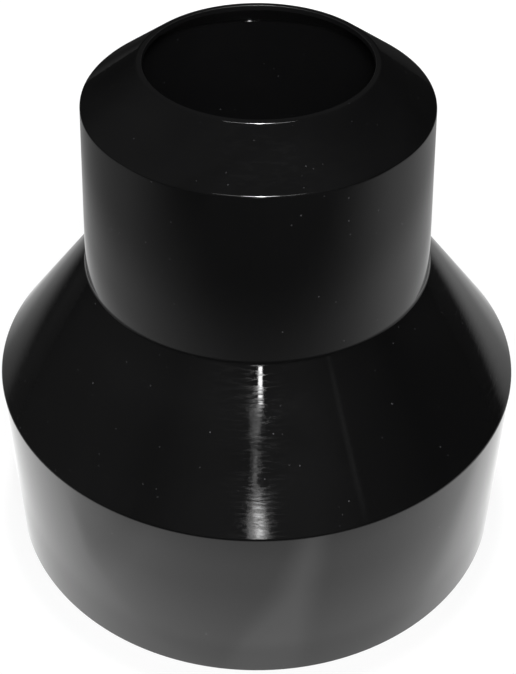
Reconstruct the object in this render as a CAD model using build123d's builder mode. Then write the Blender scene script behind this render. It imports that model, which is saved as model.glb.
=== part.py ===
"""Flue rain collar: a stepped round collar, moulded in one piece, that slides down a flue pipe
and sheds rain clear of the pipe's way through a roof. It stands on the open end of its skirt."""

import os
from math import radians, tan

from build123d import *

# Opening for the flue pipe
flue_diameter = 100.0
flue_clearance = 0.5
rim_land = 2.6

# Outside diameters, and the upper tube's draft in degrees: it widens downwards
skirt_diameter = 260.0
upper_tube_diameter = 157.0
upper_tube_draft = 3.0

# Heights of the stacked stretches, from the foot upwards
skirt_height = 97.0
lower_cone_height = 62.0
upper_tube_height = 84.0
upper_cone_height = 18.5

# Wall thickness, and how its edges are rounded or broken
wall = 3.4
shoulder_round = 2.0
inner_corner_fillet = 2.0
junction_fillet = 4.0
rim_round = 2.0
bore_edge_round = 0.3
foot_chamfer = 0.5

# Radii and levels that follow from the sizes above
bore_radius = flue_diameter / 2 + flue_clearance
rim_radius = bore_radius + rim_land
skirt_radius = skirt_diameter / 2
upper_radius = upper_tube_diameter / 2
junction_radius = upper_radius + upper_tube_height * tan(radians(upper_tube_draft))
junction_level = skirt_height + lower_cone_height
upper_level = junction_level + upper_tube_height
rim_level = upper_level + upper_cone_height

# Corners of the outside line, as radius and level
foot = Vector(skirt_radius, 0)
lower_shoulder = Vector(skirt_radius, skirt_height)
junction = Vector(junction_radius, junction_level)
upper_shoulder = Vector(upper_radius, upper_level)
rim = Vector(rim_radius, rim_level)

# The upper cone is drawn on past the rim, so that the opening can be trimmed out of it
cone_overrun = rim + (rim - upper_shoulder).normalized() * (rim_land + 2 * wall)


def corner(sketch, outside_point, inwards=0.0):
    """The sketch's corner at a point of the outside line, or that far inside it."""
    return sketch.vertices().sort_by_distance(outside_point - Vector(inwards, inwards))[0]


with BuildPart() as rain_collar:
    with BuildSketch(Plane.XZ) as section:
        # The wall follows the outside line at an even thickness
        with BuildLine():
            outside = Polyline(foot, lower_shoulder, junction, upper_shoulder, cone_overrun)
            offset(outside, wall, kind=Kind.INTERSECTION, side=Side.LEFT)
        make_face()

        # The cone is cut level along the rim and straight along the flue pipe
        with Locations((0, rim_level)):
            Rectangle(skirt_diameter, skirt_diameter, align=(Align.CENTER, Align.MIN), mode=Mode.SUBTRACT)
        Rectangle(2 * bore_radius, 2 * rim_level, mode=Mode.SUBTRACT)

        # Edges outside and inside
        for shoulder in (lower_shoulder, upper_shoulder):
            fillet(corner(section, shoulder), shoulder_round)
            fillet(corner(section, shoulder, wall), inner_corner_fillet)
        fillet(corner(section, junction), junction_fillet)
        fillet(corner(section, junction, wall), junction_fillet + wall)
        fillet(corner(section, rim), rim_round)
        fillet(corner(section, Vector(bore_radius, rim_level)), bore_edge_round)
        chamfer(corner(section, foot), foot_chamfer)
        chamfer(corner(section, Vector(skirt_radius - wall, 0)), foot_chamfer)
    revolve(axis=Axis.Z)

rain_collar.part.label = "rain_collar"

os.makedirs("parts", exist_ok=True)
export_step(rain_collar.part, "parts/rain_collar.step")
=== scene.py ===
"""Flue rain collar in gloss black plastic, standing on its skirt on a white sheet in a dark room."""

import math
from typing import NamedTuple

import bpy
from mathutils import Euler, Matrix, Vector


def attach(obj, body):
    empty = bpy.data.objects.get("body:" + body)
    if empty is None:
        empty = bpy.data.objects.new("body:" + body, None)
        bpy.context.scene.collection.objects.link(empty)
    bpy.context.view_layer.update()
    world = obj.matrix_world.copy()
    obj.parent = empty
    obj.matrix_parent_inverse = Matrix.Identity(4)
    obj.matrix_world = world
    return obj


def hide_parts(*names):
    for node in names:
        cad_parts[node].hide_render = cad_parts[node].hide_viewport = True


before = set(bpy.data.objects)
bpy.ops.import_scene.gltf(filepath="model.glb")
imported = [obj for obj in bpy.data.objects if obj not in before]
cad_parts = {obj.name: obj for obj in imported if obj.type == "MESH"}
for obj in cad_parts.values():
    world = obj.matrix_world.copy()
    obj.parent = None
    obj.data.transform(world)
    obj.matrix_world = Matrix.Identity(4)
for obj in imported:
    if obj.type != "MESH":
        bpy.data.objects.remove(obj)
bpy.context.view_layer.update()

MM_PER_METRE = 1000

# The photograph's frame in pixels, and the camera that was fitted to it
IMAGE_HEIGHT = 674
FOCAL_PIXELS = 1272.1
SENSOR_WIDTH = 36.0
CAMERA_PLACE = Vector((0.0, -0.4946, 0.5279))
CAMERA_PITCH = math.radians(-40.66)
CAMERA_YAW = math.radians(0.067)
CAMERA_ROLL = math.radians(-0.41)

scene = bpy.context.scene
scene.view_settings.view_transform = "Standard"


# Node helpers

RISE = (0.0, 1.0)
FALL = (1.0, 0.0)


def set_input(tree, socket, value):
    """Links a socket to an input, or sets a plain value on it."""
    if isinstance(value, bpy.types.NodeSocket):
        tree.links.new(value, socket)
    else:
        socket.default_value = value


def node(tree, kind, **values):
    """A new node; each value goes to the property of that name, or else to the input of that name."""
    made = tree.nodes.new(kind)
    for name, value in values.items():
        if hasattr(made, name):
            setattr(made, name, value)
        else:
            set_input(tree, made.inputs[name.replace("_", " ")], value)
    return made


def math_node(tree, operation, first, second=0.0):
    """The output of a math node; each operand is a socket or a number."""
    made = node(tree, "ShaderNodeMath", operation=operation)
    set_input(tree, made.inputs[0], first)
    set_input(tree, made.inputs[1], second)
    return made.outputs[0]


def vector_math(tree, operation, vector, other=(0.0, 0.0, 0.0), result="Vector"):
    """An output of a vector math node; the other operand is a socket or three numbers."""
    made = node(tree, "ShaderNodeVectorMath", operation=operation)
    set_input(tree, made.inputs[0], vector)
    set_input(tree, made.inputs[1], other)
    return made.outputs[result]


def fade(tree, value, ends, levels=RISE):
    """A smooth step from one level to the other as a value goes from one end to the other."""
    made = node(tree, "ShaderNodeMapRange", interpolation_type="SMOOTHSTEP", Value=value,
                From_Min=ends[0], From_Max=ends[1], To_Min=levels[0], To_Max=levels[1])
    return made.outputs["Result"]


def weighted(tree, *terms):
    """The sum of sockets, each times a number."""
    total = 0.0
    for socket, factor in terms:
        total = math_node(tree, "ADD", math_node(tree, "MULTIPLY", socket, factor), total)
    return total


def product(tree, *factors):
    """The product of sockets or numbers."""
    total = factors[0]
    for factor in factors[1:]:
        total = math_node(tree, "MULTIPLY", total, factor)
    return total


def band(tree, value, ends, soft):
    """1 between the ends, 0 outside, with soft edges."""
    low, high = ends
    return product(tree, fade(tree, value, (low - soft, low + soft)),
                   fade(tree, value, (high - soft, high + soft), FALL))


def added(tree, first, second):
    """The sum of two shaders."""
    made = tree.nodes.new("ShaderNodeAddShader")
    tree.links.new(first, made.inputs[0])
    tree.links.new(second, made.inputs[1])
    return made.outputs[0]


def empty_material(name):
    """A material, its bare node tree and the input of its surface."""
    made = bpy.data.materials.new(name)
    made.use_nodes = True
    made.node_tree.nodes.clear()
    output = made.node_tree.nodes.new("ShaderNodeOutputMaterial")
    return made, made.node_tree, output.inputs["Surface"]


def object_place(tree):
    """The place on the object in metres as a vector, and its X, Y and Z."""
    place = tree.nodes.new("ShaderNodeTexCoord").outputs["Object"]
    return place, *node(tree, "ShaderNodeSeparateXYZ", Vector=place).outputs


def seen_rays(tree, path):
    """1 for rays from the camera, from gloss and through clear pieces; 0 for those of diffuse light."""
    seen = math_node(tree, "MAXIMUM", path.outputs["Is Camera Ray"], path.outputs["Is Glossy Ray"])
    return math_node(tree, "MAXIMUM", seen, path.outputs["Is Transmission Ray"])


# Camera

def add_camera():
    data = bpy.data.cameras.new("camera")
    data.sensor_width = SENSOR_WIDTH
    data.lens = FOCAL_PIXELS / IMAGE_HEIGHT * SENSOR_WIDTH
    camera = bpy.data.objects.new("camera", data)
    scene.collection.objects.link(camera)
    camera.location = CAMERA_PLACE
    level = Euler((math.pi / 2 + CAMERA_PITCH, 0.0, -CAMERA_YAW)).to_matrix()
    camera.rotation_euler = (level @ Euler((0.0, 0.0, -CAMERA_ROLL)).to_matrix()).to_euler()
    scene.camera = camera


# Gloss black plastic

REFRACTION = 1.55
# The usual look, for viewers that don't follow the links
USUAL_ROUGHNESS = 0.05
USUAL_COLOUR = (0.0034, 0.0034, 0.0035, 1.0)
# How rough and how light the clean plastic is, and what each mark adds
CLEAN_ROUGHNESS = 0.025
SMUDGE_ROUGHNESS = 0.035
SPECK_ROUGHNESS = 0.15
RING_ROUGHNESS = 0.075
CLEAN_TONE = 0.0029
SMUDGE_TONE = 0.0012
SPECK_TONE = 0.08
# Painted light: the inside of the wall is painted lighter, to stand in for light inside the collar
INSIDE_PAINTED_LIGHT = 0.0048
TINT = {"Red": 1.0, "Green": 1.0, "Blue": 1.04}

# Rings: fine along the axis, strong where the surface faces up, and uneven from patch to patch
RING_SIZE = (1 / 150, 1 / 150, 1 / 1000)
RING_DEPTH = 1.4e-5
RING_FACING = (0.2, 0.5)
RING_SHARES = (0.1, 1.0)
DULL_RING_ENDS = (0.49, 0.57)
PATCHES_PER_METRE = 45.0
PATCH_ENDS = (0.35, 0.65)
PATCH_SHARES = (0.6, 1.0)
NOISE_MIDDLE = 0.5

# Dust: at most one speck in a cell, as shares of the cell's size, and fainter near the top
CELLS_PER_METRE = 260.0
SPECK_EDGE = (0.055, 0.085)
SPECK_SIZES = (0.6, 1.4)
SPECK_CHANCE = 0.5
SPECK_STRENGTH_ENDS = (0.2, 1.0)
SPECK_STRENGTHS = (0.12, 1.0)
DUST_TOP = (0.235, 0.245)
DUST_TOP_SHARES = (1.0, 0.35)

SMUDGES_PER_METRE = 14.0
SMUDGE_ENDS = (0.42, 0.72)

# The inside: how far the normal leads back to the axis, in millimetres, and the dull part under the rim
TO_AXIS = (-MM_PER_METRE, -MM_PER_METRE, 0.0)
INSIDE_ENDS = (4.0, 12.0)
DULL_LEVEL = (0.2425, 0.2445)
INSIDE_ROUGHNESS = (0.03, 0.28)


def ring_noise(tree, place):
    """Noise that is coarse across the collar and fine along its axis, so that it reads as rings."""
    stretched = node(tree, "ShaderNodeMapping", vector_type="TEXTURE", Vector=place, Scale=RING_SIZE)
    noise = node(tree, "ShaderNodeTexNoise", Vector=stretched.outputs[0],
                 Scale=1.0, Detail=2.5, Roughness=0.55)
    return noise.outputs[0]


def ring_height(tree, place, rings, on_cones):
    """The height of the rings, uneven from patch to patch."""
    patches = node(tree, "ShaderNodeTexNoise", Vector=place, Scale=PATCHES_PER_METRE, Detail=2.0)
    strength = product(tree, on_cones, fade(tree, patches.outputs[0], PATCH_ENDS, PATCH_SHARES))
    return product(tree, math_node(tree, "SUBTRACT", rings, NOISE_MIDDLE), strength)


def dust_specks(tree, place, level):
    """Sparse specks of uneven size and strength; level is the height above the foot."""
    cells = node(tree, "ShaderNodeTexVoronoi", Vector=place, Scale=CELLS_PER_METRE)
    by_presence, by_size, by_strength = node(
        tree, "ShaderNodeSeparateColor", Color=cells.outputs["Color"]).outputs
    size = fade(tree, by_size, (0.0, 1.0), SPECK_SIZES)
    reach = math_node(tree, "DIVIDE", cells.outputs["Distance"], size)
    return product(tree, fade(tree, reach, SPECK_EDGE, FALL),
                   math_node(tree, "GREATER_THAN", by_presence, SPECK_CHANCE),
                   fade(tree, by_strength, SPECK_STRENGTH_ENDS, SPECK_STRENGTHS),
                   fade(tree, level, DUST_TOP, DUST_TOP_SHARES))


def faint_smudges(tree, place):
    """Cloudy smudges of handling."""
    noise = node(tree, "ShaderNodeTexNoise", Vector=place, Scale=SMUDGES_PER_METRE,
                 Detail=4.0, Roughness=0.6, Distortion=0.6)
    return fade(tree, noise.outputs[0], SMUDGE_ENDS)


def inside_of_wall(tree, place, normal):
    """1 on the inside of the wall, where the normal points to the axis, and 0 on the outside."""
    to_axis = vector_math(tree, "MULTIPLY", place, TO_AXIS)
    return fade(tree, vector_math(tree, "DOT_PRODUCT", to_axis, normal, "Value"), INSIDE_ENDS)


def gloss_black():
    """Gloss black plastic: fine rings on the cones, faint smudges, sparse dust, and painted light that makes
    the inside lighter.
    """
    material, tree, surface = empty_material("gloss_black_plastic")
    place, _, _, level = object_place(tree)
    normal = tree.nodes.new("ShaderNodeTexCoord").outputs["Normal"]
    upwards = node(tree, "ShaderNodeSeparateXYZ", Vector=normal).outputs["Z"]
    on_cones = fade(tree, upwards, RING_FACING, RING_SHARES)
    rings = ring_noise(tree, place)
    speck = dust_specks(tree, place, level)
    smudge = faint_smudges(tree, place)
    inside = inside_of_wall(tree, place, normal)

    dull_rings = product(tree, fade(tree, rings, DULL_RING_ENDS), on_cones)
    dull_inside = product(tree, inside, fade(tree, level, DULL_LEVEL, INSIDE_ROUGHNESS))
    roughness = weighted(tree, (smudge, SMUDGE_ROUGHNESS), (speck, SPECK_ROUGHNESS),
                         (dull_inside, 1.0), (dull_rings, RING_ROUGHNESS))
    # The inside's share of the tone is painted light
    tone = weighted(tree, (smudge, SMUDGE_TONE), (speck, SPECK_TONE), (inside, INSIDE_PAINTED_LIGHT))
    tone = math_node(tree, "ADD", tone, CLEAN_TONE)
    channels = {channel: product(tree, tone, tint) for channel, tint in TINT.items()}
    colour = node(tree, "ShaderNodeCombineColor", **channels)
    bump = node(tree, "ShaderNodeBump", Strength=1.0, Distance=RING_DEPTH,
                Height=ring_height(tree, place, rings, on_cones))

    shader = node(tree, "ShaderNodeBsdfPrincipled", IOR=REFRACTION, Roughness=USUAL_ROUGHNESS,
                  Base_Color=USUAL_COLOUR, Normal=bump.outputs[0])
    tree.links.new(math_node(tree, "ADD", roughness, CLEAN_ROUGHNESS), shader.inputs["Roughness"])
    tree.links.new(colour.outputs[0], shader.inputs["Base Color"])
    tree.links.new(shader.outputs[0], surface)
    return material


# Collar

# Its section in millimetres: corners of the outside line from the foot up, as radius, level and rounding
OUTSIDE = (
    (130.0, 0.0, 0.0),
    (130.0, 97.0, 2.0),
    (82.902, 159.0, 4.0),
    (78.5, 243.0, 2.0),
    (53.1, 261.5, 2.0),
)
INSIDE_ROUNDS = (2.0, 7.4, 2.0)
WALL = 3.4
BORE_RADIUS = 50.5
BORE_EDGE_ROUND = 0.3
FOOT_CHAMFER = 0.5
# Stretches longer than this get a loop this close to each end
LONG_STRETCH = 1.0
LOOP_DISTANCE = 0.3
TURNS = 192
ARC_STEPS = 8
SHARP_ANGLE = math.radians(30)


def inner_corner(before, corner, after):
    """The corner of the line one wall thickness to the left of a bent line."""
    first, second = (corner - before).normalized(), (after - corner).normalized()
    left, right = Vector((-first.y, first.x)), Vector((-second.y, second.x))
    return corner + (left + right) * (WALL / (1.0 + left.dot(right)))


def rounded(before, corner, after, radius):
    """Points along a corner that is rounded to a radius."""
    to_before, to_after = (before - corner).normalized(), (after - corner).normalized()
    half = to_before.angle(to_after) / 2
    centre = corner + (to_before + to_after).normalized() * (radius / math.sin(half))
    start = corner + to_before * (radius / math.tan(half)) - centre
    end = corner + to_after * (radius / math.tan(half)) - centre
    turn = math.atan2(start.x * end.y - start.y * end.x, start.dot(end))
    angles = [turn * step / ARC_STEPS for step in range(ARC_STEPS + 1)]
    across = Vector((-start.y, start.x))
    return [centre + start * math.cos(angle) + across * math.sin(angle) for angle in angles]


def with_loops(points):
    """A closed line with points close to each corner, which keep its straight stretches evenly shaded."""
    line = []
    for i, point in enumerate(points):
        after = points[(i + 1) % len(points)]
        line.append(point)
        if (after - point).length > LONG_STRETCH:
            line += [point + (after - point).normalized() * LOOP_DISTANCE,
                     after + (point - after).normalized() * LOOP_DISTANCE]
    return line


def section():
    """The closed line of the collar's wall, as radius and level in millimetres."""
    outside = [Vector(corner[:2]) for corner in OUTSIDE]
    rim = outside[-1]
    slope = (rim - outside[-2]).normalized()
    overrun = rim + slope
    inside = [inner_corner(*outside[i - 1:i + 2]) for i in (1, 2, 3)]
    below = inner_corner(outside[-2], rim, overrun)
    bore_foot = below + slope * ((BORE_RADIUS - below.x) / slope.x)
    bore_top = Vector((BORE_RADIUS, rim.y))
    inner_foot = Vector((outside[0].x - WALL, 0.0))
    corners = [*outside, bore_top, bore_foot, *reversed(inside), inner_foot]
    outside_rounds = [corner[2] for corner in OUTSIDE]
    rounds = [*outside_rounds, BORE_EDGE_ROUND, 0.0, *reversed(INSIDE_ROUNDS), 0.0]
    points = []
    for i, (corner, radius) in enumerate(zip(corners, rounds)):
        before, after = corners[i - 1], corners[(i + 1) % len(corners)]
        if radius:
            points += rounded(before, corner, after, radius)
        elif corner.y == 0.0:
            points += [corner + (side - corner).normalized() * FOOT_CHAMFER for side in (before, after)]
        else:
            points.append(corner)
    return with_loops(points)


def turned_mesh(name, line):
    """A closed mesh turned from a closed line of radius and level in millimetres."""
    angles = [2 * math.pi * turn / TURNS for turn in range(TURNS)]
    places = [(math.cos(angle) * point.x / MM_PER_METRE, math.sin(angle) * point.x / MM_PER_METRE,
               point.y / MM_PER_METRE) for angle in angles for point in line]
    count = len(line)
    faces = []
    for turn in range(TURNS):
        this, following = turn * count, (turn + 1) % TURNS * count
        for i in range(count):
            j = (i + 1) % count
            faces.append((this + i, following + i, following + j, this + j))
    mesh = bpy.data.meshes.new(name)
    mesh.from_pydata(places, [], faces)
    mesh.shade_smooth()
    mesh.set_sharp_from_angle(angle=SHARP_ANGLE)
    return mesh


def add_collar():
    """The collar with finely turned edges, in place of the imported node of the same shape."""
    collar = bpy.data.objects.new("turned_collar", turned_mesh("turned_collar", section()))
    scene.collection.objects.link(collar)
    collar.data.materials.append(gloss_black())
    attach(collar, "root")
    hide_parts("rain_collar")


# White sheet, in metres from the collar's axis, with X to the right and Y to the back

FLOOR_SIZE = 8.0

# The pool of light round the foot: how it fades outwards and slants, and is dimmer in front and at one corner
POOL_REACH = (0.102, 0.311)
POOL_LEVEL = 1.06
POOL_SLANT_X = -1.3
POOL_SLANT_Y = 1.1
POOL_FRONT_SPREAD = -0.9
POOL_FRONT_LEAN = -0.125
POOL_FRONT_ENDS = (-0.256, -0.206)
POOL_FRONT_LEVELS = (0.78, 1.28)
POOL_OUTER_ENDS = (0.175, 0.20)
POOL_OUTER_LEVELS = (0.78, 1.0)
DIM_CORNER_X = (-0.135, -0.10)
DIM_CORNER_Y = (-0.11, -0.085)
DIM_CORNER_SHARE = 0.25

# The sheet without the pool, in painted light: how it fades outwards and past its front and back edges, which
# bend and lean
SHEET_REACH = (0.31, 0.416)
SHEET_LEVELS = (0.49, 0.325)
FRONT_BEND = 0.037
FRONT_LEAN = -0.023
FRONT_ENDS = (-0.402, -0.002)
FRONT_LEVELS = (0.1435, 1.0)
BACK_BEND = 0.32
BACK_LEAN = -0.0635
BACK_BULGE = 0.25
BACK_BULGE_REACH = (0.0, 0.25)
BACK_ENDS = (0.406, 0.713)
BACK_LEVELS = (1.0, 0.07)
LEFT_GLOW_ENDS = (-1.0, -0.3)
LEFT_GLOW_LEVELS = (0.06, 0.0)
LEFT_ENDS = (-0.45, -0.2)
LEFT_LEVELS = (0.70, 1.0)
RIGHT_ENDS = (0.15, 0.45)
RIGHT_LEVELS = (1.0, 1.3)

# A crease across the pool, painted as a band of extra light
CREASE_X = 0.73
CREASE_Y = 0.68
CREASE_ENDS = (-0.104, -0.080)
CREASE_SOFTNESS = 0.014
CREASE_LEFT = (-0.02, 0.0)
CREASE_FRONT = (-0.24, -0.215)
CREASE_GAIN = 0.47

# Under the collar the sheet has painted shade, apart from a narrow strip of painted lamplight
UNDER_WALL = (0.1268, 0.1296)
UNDER_LEVELS = (0.008, 1.0)
GLINT_LEAN = 0.084
GLINT_ACROSS = (0.0120, 0.0134)
GLINT_ACROSS_SOFTNESS = 0.0005
GLINT_ALONG = (0.020, 0.080)
GLINT_ALONG_SOFTNESS = 0.003
GLINT_LEVEL = 20.0

# What gloss sees of the sheet glows and is lit; the camera sees white, and diffuse light a plain sheet
GLOSS_GLOW = 0.85
GLOSS_LIT = 0.25
CAMERA_REACH = (0.2, 0.6)
CAMERA_GLOW = (0.88, 1.0)
CAMERA_LIT = 0.18
PLAIN_SHEET = (0.8, 0.8, 0.8, 1.0)


def pool_tone(tree, x, y, distance):
    """The pool of light on the sheet round the foot."""
    slant = math_node(tree, "ADD", weighted(tree, (x, POOL_SLANT_X), (y, POOL_SLANT_Y)), 1.0)
    off_front = weighted(tree, (y, 1.0), (distance, POOL_FRONT_SPREAD), (x, POOL_FRONT_LEAN))
    dim_front = math_node(tree, "MAXIMUM", fade(tree, off_front, POOL_FRONT_ENDS, POOL_FRONT_LEVELS),
                          fade(tree, distance, POOL_OUTER_ENDS, POOL_OUTER_LEVELS))
    dim_corner = product(tree, fade(tree, x, DIM_CORNER_X, (DIM_CORNER_SHARE, 0.0)),
                         fade(tree, y, DIM_CORNER_Y, FALL))
    return product(tree, fade(tree, distance, POOL_REACH, (POOL_LEVEL, 0.0)), slant, dim_front,
                   math_node(tree, "SUBTRACT", 1.0, dim_corner))


def bare_tone(tree, x, y, distance):
    """The sheet without the pool of light."""
    aside = math_node(tree, "ABSOLUTE", x)
    bulge = fade(tree, aside, BACK_BULGE_REACH, FALL)
    front = weighted(tree, (y, 1.0), (aside, FRONT_BEND), (x, FRONT_LEAN))
    back = weighted(tree, (y, 1.0), (aside, BACK_BEND), (x, BACK_LEAN), (bulge, BACK_BULGE))
    return product(tree, fade(tree, distance, SHEET_REACH, SHEET_LEVELS),
                   fade(tree, front, FRONT_ENDS, FRONT_LEVELS), fade(tree, back, BACK_ENDS, BACK_LEVELS))


def crease_gain(tree, x, y):
    """How much lighter the crease is painted than the sheet beside it, as painted light."""
    across = weighted(tree, (x, CREASE_X), (y, CREASE_Y))
    crease = product(tree, band(tree, across, CREASE_ENDS, CREASE_SOFTNESS),
                     fade(tree, x, CREASE_LEFT), fade(tree, y, CREASE_FRONT))
    return math_node(tree, "ADD", product(tree, crease, CREASE_GAIN), 1.0)


def sheet_tone(tree, x, y, distance):
    """The sheet as gloss sees it, without the strip of lamplight."""
    tone = math_node(tree, "ADD", pool_tone(tree, x, y, distance), bare_tone(tree, x, y, distance))
    tone = math_node(tree, "ADD", tone, fade(tree, x, LEFT_GLOW_ENDS, LEFT_GLOW_LEVELS))
    # The last factor is painted shade under the collar
    return product(tree, tone, fade(tree, x, LEFT_ENDS, LEFT_LEVELS),
                   fade(tree, x, RIGHT_ENDS, RIGHT_LEVELS), crease_gain(tree, x, y),
                   fade(tree, distance, UNDER_WALL, UNDER_LEVELS))


def glint_tone(tree, x, y):
    """The strip of painted lamplight under the collar, which the corner inside the upper tube mirrors as a
    dot.
    """
    across = weighted(tree, (x, 1.0), (y, GLINT_LEAN))
    return product(tree, band(tree, across, GLINT_ACROSS, GLINT_ACROSS_SOFTNESS),
                   band(tree, y, GLINT_ALONG, GLINT_ALONG_SOFTNESS), GLINT_LEVEL)


def white_sheet():
    """White to the camera, with a soft shadow close to the collar; in the collar's gloss, painted light and
    shade.
    """
    material, tree, surface = empty_material("white_sheet")
    place, x, y, _ = object_place(tree)
    distance = vector_math(tree, "LENGTH", place, result="Value")
    path = tree.nodes.new("ShaderNodeLightPath")
    by_camera = path.outputs["Is Camera Ray"]
    not_camera = math_node(tree, "SUBTRACT", 1.0, by_camera)
    tone = sheet_tone(tree, x, y, distance)

    mirrored = math_node(tree, "MINIMUM", product(tree, tone, GLOSS_GLOW), 1.0)
    mirrored = math_node(tree, "ADD", mirrored, glint_tone(tree, x, y))
    white = product(tree, by_camera, fade(tree, distance, CAMERA_REACH, CAMERA_GLOW))
    glow = math_node(tree, "MAXIMUM", product(tree, mirrored, not_camera), white)
    lit = math_node(tree, "MAXIMUM", product(tree, tone, GLOSS_LIT, not_camera),
                    product(tree, by_camera, CAMERA_LIT))
    emission = node(tree, "ShaderNodeEmission", Strength=glow)
    diffuse = node(tree, "ShaderNodeBsdfDiffuse", Color=lit)
    plain = node(tree, "ShaderNodeBsdfDiffuse", Color=PLAIN_SHEET)

    mix = tree.nodes.new("ShaderNodeMixShader")
    tree.links.new(seen_rays(tree, path), mix.inputs[0])
    tree.links.new(plain.outputs[0], mix.inputs[1])
    tree.links.new(added(tree, emission.outputs[0], diffuse.outputs[0]), mix.inputs[2])
    tree.links.new(mix.outputs[0], surface)
    return material


def add_floor():
    bpy.ops.mesh.primitive_plane_add(size=FLOOR_SIZE)
    floor = bpy.context.object
    floor.name = "floor"
    floor.data.materials.append(white_sheet())


# Dark room

ROOM_RADIUS = 3.0
ROOM_LEVEL = 0.012


class Lobe(NamedTuple):
    """A soft light patch on the room's wall; its outer and inner edge are cosines from its direction."""
    direction: tuple
    edges: tuple
    level: float


LOBES = (
    Lobe((-0.4, -0.3, 0.87), (0.0, 1.0), 0.065),
    Lobe((0.0, -0.85, 0.5), (0.75, 1.0), 0.035),
    Lobe((0.6, -0.7, 0.4), (0.8, 1.0), 0.04),
    Lobe((0.0, 0.75, 0.66), (0.93, 0.995), 0.03),
    Lobe((-0.95, 0.0, 0.3), (0.7, 1.0), 0.037),
    Lobe((0.95, 0.1, 0.25), (0.8, 1.0), 0.017),
)


def room_wall():
    """A dark wall with a few soft light patches."""
    material, tree, surface = empty_material("dark_room")
    place = tree.nodes.new("ShaderNodeTexCoord").outputs["Object"]
    level = ROOM_LEVEL
    for lobe in LOBES:
        towards = Vector(lobe.direction).normalized() / ROOM_RADIUS
        cosine = vector_math(tree, "DOT_PRODUCT", place, towards, "Value")
        level = math_node(tree, "ADD", fade(tree, cosine, lobe.edges, (0.0, lobe.level)), level)
    emission = node(tree, "ShaderNodeEmission", Strength=level)
    tree.links.new(emission.outputs[0], surface)
    return material


def add_room():
    """The dark room round the sheet, which the camera doesn't see: lightest overhead."""
    bpy.ops.mesh.primitive_uv_sphere_add(radius=ROOM_RADIUS, segments=48, ring_count=24)
    room = bpy.context.object
    room.name = "dark_room"
    bpy.ops.object.shade_smooth()
    room.data.materials.append(room_wall())
    room.visible_camera = False


# Streak panel

PANEL_X = (-0.10, 0.85)
PANEL_Y = -0.8
PANEL_Z = (0.36, 0.72)
BLOTCH_SCALE = (40.0, 1.0, 110.0)
BLOTCH_LEVELS = (-0.3, 3.0)
LINE_SCALE = (30.0, 1.0, 90.0)
LINE_LEVELS = (-0.6, 2.6)
MOTTLE_ENDS = (0.36, 0.64)
DARKEST_MOTTLE = 0.1
SWAYS_PER_METRE = 90.0
SWAY_WIDTH = 0.12
LEAN_PER_METRE = -0.23


class Patch(NamedTuple):
    """A soft-edged light on the panel; kind is how its sides run, and ends are levels above the floor."""
    kind: str
    sides: tuple
    side_softness: float
    ends: tuple
    end_softness: float
    level: float
    mottling: str = ""


# From the top down, with three bright spots in the lowest, and then a faint strip at the right
PATCHES = (
    Patch("straight", (0.0145, 0.0455), 0.004, (0.570, 0.640), 0.004, 23.0),
    Patch("swaying", (-0.042, 0.034), 0.010, (0.528, 0.568), 0.012, 1.15, "lines"),
    Patch("swaying", (-0.022, 0.014), 0.010, (0.478, 0.530), 0.012, 1.0, "lines"),
    Patch("straight", (-0.014, 0.008), 0.006, (0.452, 0.505), 0.006, 1.2),
    Patch("swaying", (-0.024, 0.060), 0.022, (0.380, 0.448), 0.006, 2.8, "blotches"),
    Patch("swaying", (-0.006, 0.024), 0.014, (0.435, 0.443), 0.003, 17.0),
    Patch("swaying", (-0.002, 0.038), 0.014, (0.405, 0.416), 0.004, 14.0),
    Patch("swaying", (0.000, 0.046), 0.016, (0.383, 0.389), 0.003, 14.0),
    Patch("leaning", (0.560, 0.595), 0.03, (0.47, 0.69), 0.04, 0.14),
)


def mottle(tree, place, scale, levels):
    """Uneven brightness with a scale along each axis."""
    stretched = vector_math(tree, "MULTIPLY", place, scale)
    noise = node(tree, "ShaderNodeTexNoise", Vector=stretched, Scale=1.0, Detail=3.0, Roughness=0.6)
    return math_node(tree, "MAXIMUM", fade(tree, noise.outputs[0], MOTTLE_ENDS, levels), DARKEST_MOTTLE)


def panel_light(tree):
    """The sum of the panel's lights."""
    place, x, _, z = object_place(tree)
    sway = node(tree, "ShaderNodeTexNoise", noise_dimensions="1D", W=z, Scale=SWAYS_PER_METRE, Detail=2.0)
    off_middle = math_node(tree, "SUBTRACT", sway.outputs[0], NOISE_MIDDLE)
    across = {
        "straight": x,
        "swaying": weighted(tree, (x, 1.0), (off_middle, SWAY_WIDTH)),
        "leaning": weighted(tree, (x, 1.0), (z, LEAN_PER_METRE)),
    }
    mottling = {
        "": 1.0,
        "lines": mottle(tree, place, LINE_SCALE, LINE_LEVELS),
        "blotches": mottle(tree, place, BLOTCH_SCALE, BLOTCH_LEVELS),
    }
    terms = []
    for patch in PATCHES:
        sides = band(tree, across[patch.kind], patch.sides, patch.side_softness)
        ends = band(tree, z, patch.ends, patch.end_softness)
        terms.append((product(tree, sides, ends, mottling[patch.mottling]), patch.level))
    return weighted(tree, *terms)


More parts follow.
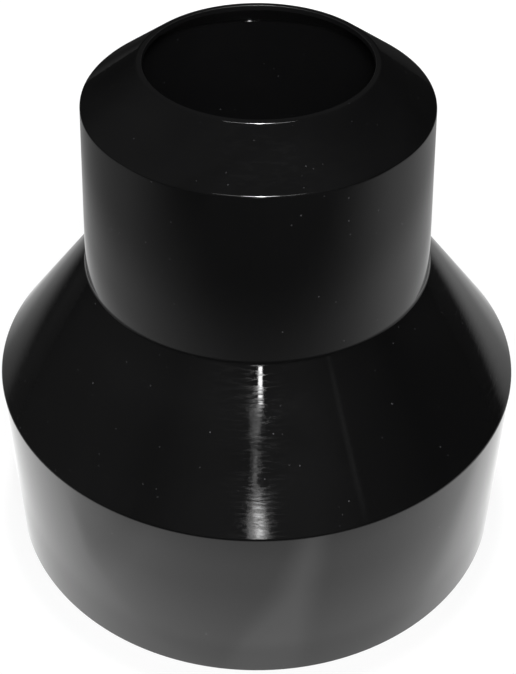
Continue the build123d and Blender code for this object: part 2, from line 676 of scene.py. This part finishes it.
def add_streak_panel():
    """Lights behind the camera, which only gloss sees: the lower cone mirrors them as a ragged streak."""
    (left, right), (low, high) = PANEL_X, PANEL_Z
    corners = [(x, PANEL_Y, z) for x, z in ((left, low), (right, low), (right, high), (left, high))]
    mesh = bpy.data.meshes.new("streak_panel")
    mesh.from_pydata(corners, [], [(0, 1, 2, 3)])
    panel = bpy.data.objects.new("streak_panel", mesh)
    scene.collection.objects.link(panel)
    panel.visible_camera = False
    panel.visible_shadow = False
    material, tree, surface = empty_material("streak_panel")
    path = tree.nodes.new("ShaderNodeLightPath")
    strength = product(tree, panel_light(tree), path.outputs["Is Glossy Ray"])
    emission = node(tree, "ShaderNodeEmission", Strength=strength)
    clear = tree.nodes.new("ShaderNodeBsdfTransparent")
    tree.links.new(added(tree, emission.outputs[0], clear.outputs[0]), surface)
    mesh.materials.append(material)


# World and lamps

WHITE = (1.0, 1.0, 1.0, 1.0)
# Each lamp is three ovals, so that it is brightest in its middle: name, width in metres, power in watts
OVERHEAD_OVALS = (("overhead", 0.09, 5.8), ("overhead_middle", 0.28, 5.0), ("overhead_wide", 0.75, 2.2))
OVERHEAD_PLACE = (0.015, 0.10, 1.65)
# A hair in front of straight down, so that the ovals lie along X
OVERHEAD_AIM = (0.015, 0.0999, 0.0)
OVERHEAD_HEIGHT = 0.12
CAMERA_OVALS = (("by_camera", 0.055, 1.05), ("by_camera_middle", 0.20, 1.2), ("by_camera_wide", 0.54, 0.35))
ABOVE_CAMERA = CAMERA_PLACE + Vector((0.012, 0.0, 0.06))
COLLAR_MIDDLE = (0.0, 0.0, 0.15)
CAMERA_LAMP_HEIGHT = 0.05


def add_world():
    """White where it is seen, and dark to diffuse surfaces, which the lamps light."""
    world = bpy.data.worlds.new("white")
    scene.world = world
    world.use_nodes = True
    tree = world.node_tree
    background = tree.nodes["Background"]
    background.inputs["Color"].default_value = WHITE
    seen = seen_rays(tree, tree.nodes.new("ShaderNodeLightPath"))
    tree.links.new(seen, background.inputs["Strength"])


def add_lamp(ovals, place, aim, height):
    """A soft lamp of ovals of one height at a place, aimed at a point."""
    for name, width, power in ovals:
        data = bpy.data.lights.new(name, "AREA")
        data.shape = "ELLIPSE"
        data.size = width
        data.size_y = height
        data.energy = power
        lamp = bpy.data.objects.new(name, data)
        scene.collection.objects.link(lamp)
        lamp.location = place
        lamp.rotation_euler = (Vector(aim) - Vector(place)).to_track_quat("-Z", "Y").to_euler()


add_camera()
add_collar()
add_floor()
add_room()
add_streak_panel()
add_world()
add_lamp(OVERHEAD_OVALS, OVERHEAD_PLACE, OVERHEAD_AIM, OVERHEAD_HEIGHT)
add_lamp(CAMERA_OVALS, ABOVE_CAMERA, COLLAR_MIDDLE, CAMERA_LAMP_HEIGHT)
